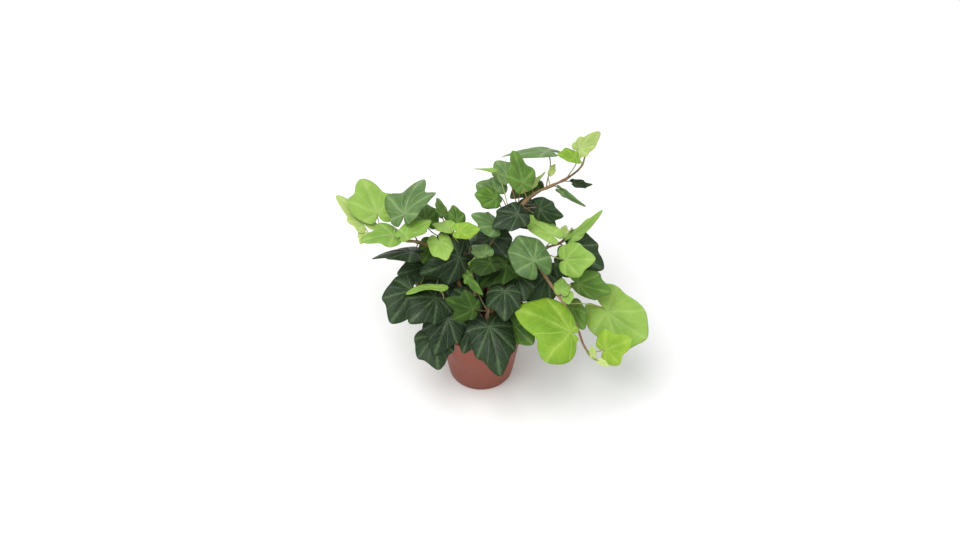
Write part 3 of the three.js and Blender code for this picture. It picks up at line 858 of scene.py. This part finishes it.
def make_leaf(sheet, name, base, size, angles, kind, look, path):
    """A blade with its stalk, as one piece."""
    dice = random.Random(name)
    turn = leaf_turn(*angles)
    blade = shape_blade(sheet, name + "_blade", size, kind, look, dice)
    blade.data.transform(Matrix.Translation(base) @ turn.to_4x4())
    for skin in (look["upper"], look["under"], look["stalk"]):
        blade.data.materials.append(skin)
    apply_modifier(
        blade, "SOLIDIFY", thickness=blade_thickness, offset=-1,
        material_offset=1, material_offset_rim=0, use_even_offset=False)
    bpy.ops.object.shade_smooth()
    route = stalk_path(base, turn, path)
    radii = [
        stalk_radius * (0.85 + 0.35 * abs(2 * number / (len(route) - 1) - 1) ** 3)
        for number in range(len(route))
    ]
    stalk = grow_tube(name + "_stalk", route, radii, stalk_sides)
    for skin in (look["upper"], look["under"], look["stalk"]):
        stalk.data.materials.append(skin)
    for face in stalk.data.polygons:
        face.material_index = 2
    take(blade)
    stalk.select_set(True)
    bpy.ops.object.join()
    tint = blade.data.attributes.new("tint", "FLOAT", "POINT")
    shade = dice.uniform(0, 1)
    for value in tint.data:
        value.value = shade
    return blade


def patches(skin, flat, size, detail):
    """Soft uneven patches over a blade, smaller where size is larger."""
    place = skin.node("Mapping", {"Vector": flat, "Scale": (size, size, size)}).outputs[0]
    return skin.noise(place, 1.0, detail)


def vein_net(skin, flat, size):
    """How far a point is from the finest net of veins, in cells of which size fit across a blade."""
    place = skin.node("Mapping", {"Vector": flat, "Scale": (size, size, 0)}).outputs[0]
    cells = skin.node("TexVoronoi", {"Vector": place, "Scale": 1.0}, feature="DISTANCE_TO_EDGE")
    return cells.outputs[0]


def make_upper_skin(name, deep, light, vein, vein_strength, gloss, mirror):
    """Waxy upper face: veins run from the leaf's base to each lobe, with finer ones between them."""
    skin = Finish(name)
    flat = skin.node("UVMap", uv_map="leaf").outputs[0]
    centring = {"Vector": flat, "Location": (-1, -1, 0), "Scale": (2, 2, 0)}
    centred = skin.node("Mapping", centring).outputs[0]
    split = skin.node("SeparateXYZ", {0: centred})
    x, y = split.outputs[0], split.outputs[1]
    distance = skin.node("VectorMath", {0: centred}, operation="LENGTH").outputs["Value"]
    sway = skin.math("MULTIPLY", skin.math("SUBTRACT", patches(skin, flat, 6, 2), 0.5), 0.22)
    half = skin.math("ADD", skin.math("ARCTAN2", skin.math("ABSOLUTE", x), y), sway)
    veins = None
    nearest = 9.0
    # Each vein is its direction, its width, and how far from the base it starts. The main ones start
    # at the base itself, and nearest becomes the angle from the nearest of them.
    for direction, width, start in (
            (0, 0.012, 0.0), (50, 0.011, 0.0), (108, 0.009, 0.0),
            (25, 0.007, 0.12), (79, 0.007, 0.10), (142, 0.007, 0.05)):
        off = skin.math("ABSOLUTE", skin.math("SUBTRACT", half, math.radians(direction)))
        across = skin.math("MULTIPLY", distance, skin.math("SINE", skin.math("MINIMUM", off, 1.5)))
        line = skin.fade(across, width * 0.4, width * 1.5, 1, 0)
        line = skin.math("MULTIPLY", line, skin.fade(distance, start, start + 0.05, 0.3, 1))
        line = skin.math("MULTIPLY", line, skin.fade(distance, 0.6, 1.0, 1, 0.5))
        veins = line if veins is None else skin.math("MAXIMUM", veins, line)
        if start == 0.0:
            nearest = skin.math("MINIMUM", off, nearest)
    from_vein = skin.math("MULTIPLY", distance, skin.math("SINE", nearest))
    out_along = skin.math("MULTIPLY", distance, skin.math("COSINE", nearest))
    halo = skin.fade(from_vein, 0.0, 0.09, 0.22, 0)
    herring = skin.math("MULTIPLY_ADD", out_along, 6.5, skin.math("MULTIPLY", from_vein, -6.0))
    herring = skin.math("ADD", herring, skin.math("MULTIPLY", sway, 6))
    to_line = skin.math("ABSOLUTE", skin.math("SUBTRACT", skin.math("FRACT", herring), 0.5))
    side = skin.fade(to_line, 0.02, 0.06, 1, 0)
    side = skin.math("MULTIPLY", side, skin.fade(from_vein, 0.0, 0.3, 0.7, 0.1))
    net = skin.fade(vein_net(skin, flat, 40), 0.0, 0.1, 0.22, 0)
    veins = skin.math("MAXIMUM", veins, skin.math("MAXIMUM", side, net))
    patch = patches(skin, flat, 5, 5)
    tint = skin.node("Attribute", attribute_name="tint").outputs["Fac"]
    share = skin.math("ADD", skin.fade(patch, 0.3, 0.7, 0, 0.5), skin.math("MULTIPLY", tint, 0.6))
    body = skin.blend(share, deep, light)
    body = skin.blend(halo, body, vein)
    body = skin.blend(skin.math("MULTIPLY", veins, vein_strength), body, vein)
    skin.feed(skin.skin.inputs["Base Color"], body)
    skin.feed(skin.skin.inputs["Roughness"], skin.fade(patch, 0.3, 0.7, gloss - 0.05, gloss + 0.08))
    skin.skin.inputs["Specular IOR Level"].default_value = mirror
    depth = skin.math("MULTIPLY_ADD", patch, 0.6, skin.math("MULTIPLY", veins, -1.0))
    skin.relief(depth, 0.35, 0.35 * MM)
    return skin.material


def make_under_skin(name, body_colour, vein):
    """Paler, duller under face with a fine net of veins."""
    skin = Finish(name)
    flat = skin.node("UVMap", uv_map="leaf").outputs[0]
    patch = patches(skin, flat, 7, 5)
    net = skin.fade(vein_net(skin, flat, 26), 0.0, 0.14, 0.5, 0)
    body = skin.blend(net, body_colour, vein)
    body = skin.blend(skin.fade(patch, 0.35, 0.7, 0, 0.35), body, vein)
    skin.feed(skin.skin.inputs["Base Color"], body)
    skin.skin.inputs["Roughness"].default_value = 0.62
    skin.skin.inputs["Specular IOR Level"].default_value = 0.2
    skin.relief(net, 0.4, 0.3 * MM)
    return skin.material


def make_stalk_skin(name, green, red):
    """Green stalk flushed with red, with faint streaks along it."""
    skin = Finish(name)
    place = skin.here()
    body = skin.blend(skin.fade(skin.noise(place, 90, 4), 0.38, 0.62), green, red)
    streak = skin.noise(skin.here((3, 3, 0.6)), 500, 3)
    body = skin.blend(skin.fade(streak, 0.5, 0.7, 0, 0.3), body, colour(196, 190, 140))
    skin.feed(skin.skin.inputs["Base Color"], body)
    skin.skin.inputs["Roughness"].default_value = 0.5
    skin.relief(streak, 0.3, 0.2 * MM)
    return skin.material


# For each age of leaf: its deep green, light green and vein colour, how plainly its veins show, its
# roughness and how much it mirrors.
leaf_colours = {
    "leaf_dark": (colour(16, 32, 17), colour(42, 62, 34), colour(104, 128, 90), 0.56, 0.42, 0.18),
    # leaf_grey is partly the leaves' own grey-green and partly painted sheen: its greens are paler and
    # greyer, as if lit by a glancing highlight.
    "leaf_grey": (colour(62, 96, 46), colour(108, 140, 78), colour(160, 186, 124), 0.45, 0.45, 0.25),
    "leaf_green": (colour(46, 82, 18), colour(98, 138, 46), colour(150, 184, 98), 0.4, 0.45, 0.25),
    "leaf_olive": (colour(16, 36, 6), colour(48, 76, 18), colour(92, 122, 52), 0.45, 0.42, 0.17),
    "leaf_bright": (colour(110, 152, 54), colour(146, 182, 80), colour(182, 208, 124), 0.36, 0.48, 0.3),
    "leaf_lime": (colour(96, 142, 24), colour(144, 180, 50), colour(182, 206, 98), 0.4, 0.48, 0.3),
    "leaf_pale": (colour(150, 182, 82), colour(192, 210, 126), colour(216, 228, 164), 0.4, 0.5, 0.3),
}
old_stalk = make_stalk_skin("old_stalk", colour(112, 122, 66), colour(134, 88, 72))
young_stalk = make_stalk_skin("young_stalk", colour(146, 170, 88), colour(170, 140, 100))
old_under = make_under_skin("old_under_skin", colour(82, 112, 74), colour(138, 160, 118))
young_under = make_under_skin("young_under_skin", colour(122, 162, 74), colour(176, 200, 126))
looks = {}
for slot, (deep, light, vein, strength, gloss, mirror) in leaf_colours.items():
    young = slot in ("leaf_bright", "leaf_lime", "leaf_pale")
    looks[slot] = {
        "upper": make_upper_skin(slot + "_upper", deep, light, vein, strength, gloss, mirror),
        "under": young_under if young else old_under,
        "stalk": young_stalk if young else old_stalk,
        "arch": (0.03, 0.12) if young else (0.06, 0.18),
        "wave": (0.015, 0.035) if young else (0.012, 0.03),
        "bend": (-0.16, 0.1) if young else (-0.3, 0.05),
        "pucker": 0.018 if young else 0.03,
    }


blade_sheet = make_sheet()
slots = {part["node"]: part["material_slot"] for part in frame["record"]["subparts"]}
for vine, leaves in leaf_places.items():
    for name, base, size, angles, kind, *finish in leaves:
        slot = finish[0] if finish else slots[name]
        leaf = make_leaf(
            blade_sheet, name, above_rim(base), size, angles, leaf_kinds[kind], looks[slot],
            vine_paths[vine])
        if name in frame["nodes"]:
            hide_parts(name)
        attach(leaf, "root")
bpy.data.objects.remove(blade_sheet)


# ---------------------------------------------------------------- floor and light
# The pot stands on a plain pale floor under soft studio light: a wide bright sky and a large lamp
# above it, to the front left.
put_down_tools()
bpy.ops.mesh.primitive_plane_add(size=12, location=(0, 0, 0))
floor = bpy.context.object
floor.name = "floor"
pale = Finish("pale_floor")
pale.feed(pale.skin.inputs["Base Color"], pale.blend(
    pale.noise(pale.here(), 3, 3), (0.9, 0.9, 0.9, 1), (0.94, 0.94, 0.94, 1)))
pale.skin.inputs["Roughness"].default_value = 0.9
pale.skin.inputs["Specular IOR Level"].default_value = 0.1
floor.data.materials.append(pale.material)

sky = bpy.data.worlds.new("studio")
sky.use_nodes = True
sky.node_tree.nodes["Background"].inputs["Color"].default_value = (1, 1, 1, 1)
sky.node_tree.nodes["Background"].inputs["Strength"].default_value = 0.8
bpy.context.scene.world = sky
bpy.context.scene.view_settings.view_transform = "Standard"

lamp = bpy.data.objects.new("soft_lamp", bpy.data.lights.new("soft_lamp", "AREA"))
lamp.data.shape = "DISK"
lamp.data.size = 2
lamp.data.energy = 46
lamp.location = (-0.7, -0.7, 2.6)
lamp.rotation_euler = (Vector((0, 0.02, 0.12)) - lamp.location).to_track_quat("-Z", "Y").to_euler()
bpy.context.scene.collection.objects.link(lamp)
